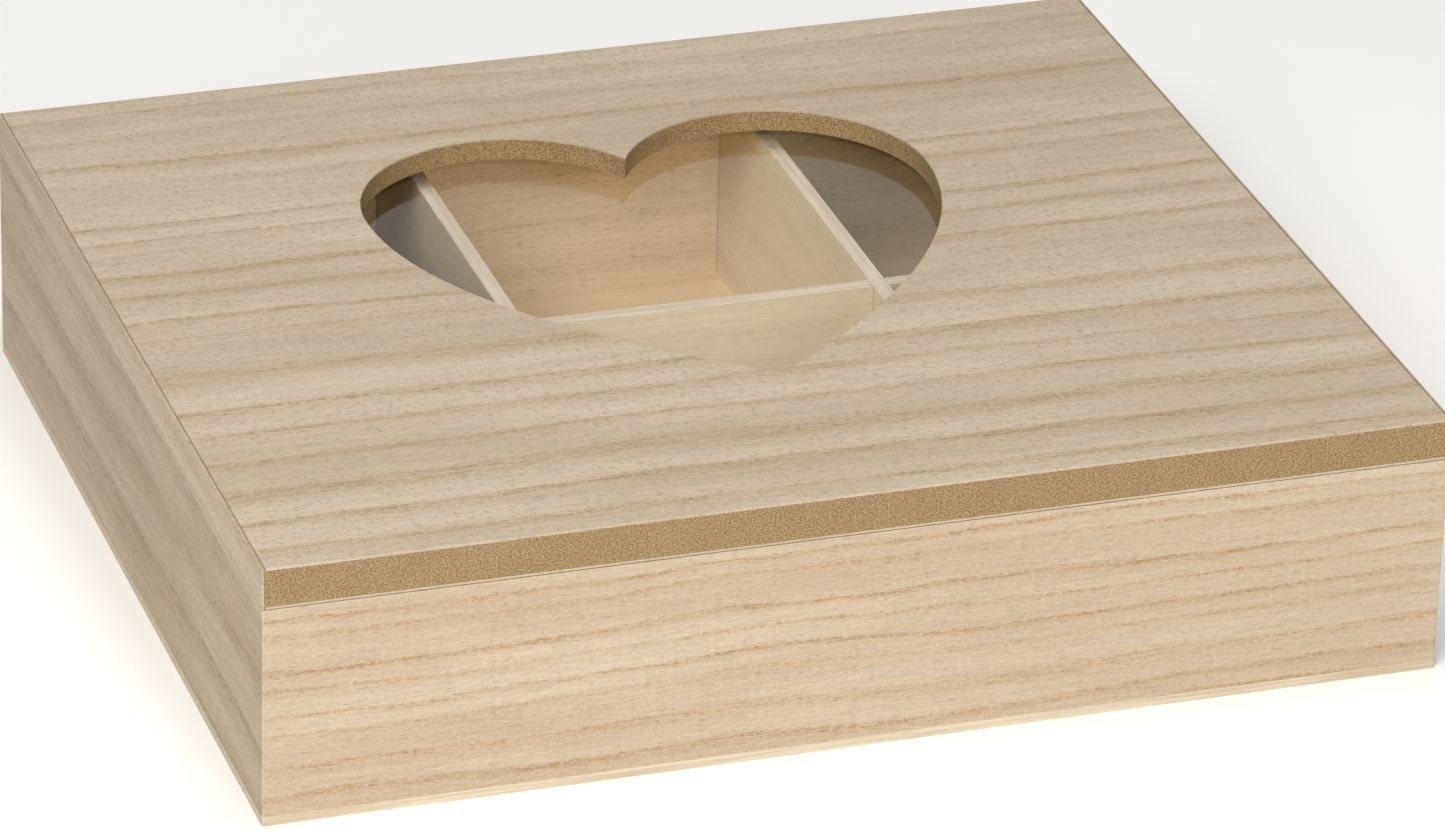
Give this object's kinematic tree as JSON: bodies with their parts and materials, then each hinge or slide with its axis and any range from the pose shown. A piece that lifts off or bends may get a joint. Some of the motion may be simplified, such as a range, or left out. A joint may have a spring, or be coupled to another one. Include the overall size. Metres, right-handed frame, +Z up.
{
  "type": "keepsake box",
  "caption": "Low hinged wooden box with divided compartments under a flat lid, and a clear heart-shaped window set into the lid.",
  "frame": {"origin": "centre of the base board's underside, midway between the outer faces of the walls", "axes": "+X right along the front, +Y from the front to the hinges, +Z up"},
  "size_m": [0.25, 0.2262, 0.0575],
  "materials": {
    "wall_wood": "matte",
    "divider_wood": "matte",
    "base_plywood": "matte",
    "lid_skin": "matte",
    "fibreboard": "matte",
    "clear_pane": "gloss",
    "tape": "matte",
    "hinge_brass": "satin",
    "screw_brass": "satin"
  },
  "bodies": {
    "box": {"base_board": "base_plywood", "front_wall": "wall_wood", "back_wall": "wall_wood", "left_wall": "wall_wood", "right_wall": "wall_wood", "left_divider": "divider_wood", "right_divider": "divider_wood", "cross_divider": "divider_wood", "left_hinge_body_leaf": "hinge_brass", "right_hinge_body_leaf": "hinge_brass", "left_hinge_pin": "hinge_brass", "right_hinge_pin": "hinge_brass", "body_screws": "screw_brass"},
    "lid": {"lid_core": "fibreboard", "lid_top_veneer": "lid_skin", "lid_bottom_veneer": "lid_skin", "lid_left_band": "lid_skin", "lid_right_band": "lid_skin", "window_pane": "clear_pane", "pane_tape": "tape", "left_hinge_lid_leaf": "hinge_brass", "right_hinge_lid_leaf": "hinge_brass", "lid_screws": "screw_brass"}
  },
  "joints": [
    {"name": "lid_hinge", "type": "hinge", "parent": "box", "child": "lid", "pos_m": [0, 0.11205, 0.0484], "axis": [-1, 0, 0], "range_deg": [0, 100]}
  ]
}
